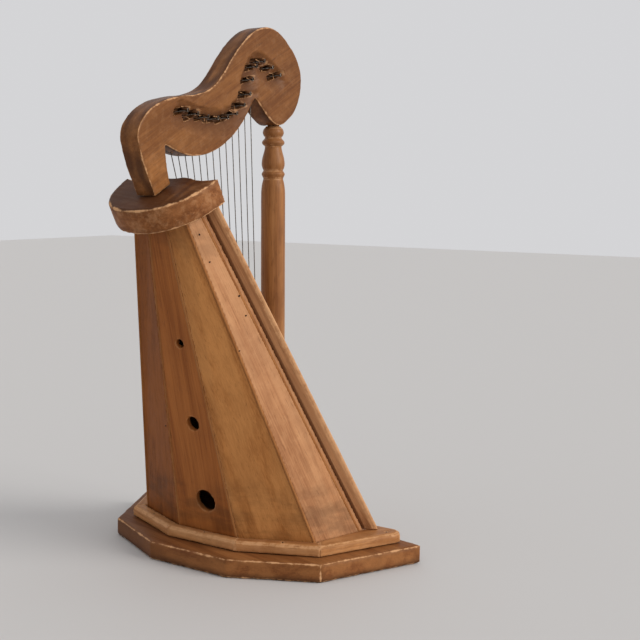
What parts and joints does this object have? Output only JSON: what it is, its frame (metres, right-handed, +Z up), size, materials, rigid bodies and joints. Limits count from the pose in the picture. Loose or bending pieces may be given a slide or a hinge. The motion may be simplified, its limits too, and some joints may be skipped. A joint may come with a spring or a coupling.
{
  "type": "tabletop harp",
  "caption": "Small decorative wooden harp: staved sound box on a stepped base, thick cap, carved neck, turned column and thin wire strings.",
  "frame": {"origin": "on the ground under the middle of the base plate", "axes": "+X from the sound box towards the column, +Y to the harp's left, +Z up"},
  "size_m": [0.1983, 0.285, 0.4173],
  "materials": {
    "stained_wood": "softwood stained warm brown with a satin wax, worn pale at the edges",
    "bare_wood": "unstained softwood of the hidden blocks and dowels",
    "steel_wire": "thin plain steel wire, dulled",
    "brad_steel": "headless steel brads, dulled"
  },
  "bodies": {
    "root": {"base_plate": "stained_wood", "base_strip_side_left": "stained_wood", "base_strip_rear_left": "stained_wood", "base_strip_rear": "stained_wood", "base_strip_rear_right": "stained_wood", "base_strip_side_right": "stained_wood", "stave_side_left": "stained_wood", "stave_back_left": "stained_wood", "stave_back": "stained_wood", "stave_back_right": "stained_wood", "stave_side_right": "stained_wood", "soundboard": "stained_wood", "string_rib": "stained_wood", "edge_bead_left": "stained_wood", "edge_bead_right": "stained_wood", "cap": "stained_wood", "neck": "stained_wood", "column": "stained_wood", "bottom_block": "bare_wood", "top_block": "bare_wood", "neck_dowel": "bare_wood", "cap_dowel_left": "bare_wood", "cap_dowel_right": "bare_wood", "foot_dowel_left": "bare_wood", "foot_dowel_right": "bare_wood", "string_01": "steel_wire", "string_02": "steel_wire", "string_03": "steel_wire", "string_04": "steel_wire", "string_05": "steel_wire", "string_06": "steel_wire", "string_07": "steel_wire", "string_08": "steel_wire", "string_09": "steel_wire", "string_10": "steel_wire", "string_11": "steel_wire", "string_12": "steel_wire", "string_13": "steel_wire", "anchor_pin_01": "brad_steel", "anchor_pin_02": "brad_steel", "anchor_pin_03": "brad_steel", "anchor_pin_04": "brad_steel", "anchor_pin_05": "brad_steel", "anchor_pin_06": "brad_steel", "anchor_pin_07": "brad_steel", "anchor_pin_08": "brad_steel", "anchor_pin_09": "brad_steel", "anchor_pin_10": "brad_steel", "anchor_pin_11": "brad_steel", "anchor_pin_12": "brad_steel", "anchor_pin_13": "brad_steel", "strip_brad_side_left": "brad_steel", "strip_brad_rear_left": "brad_steel", "strip_brad_rear": "brad_steel", "strip_brad_rear_right": "brad_steel", "strip_brad_side_right": "brad_steel"}
  },
  "joints": []
}
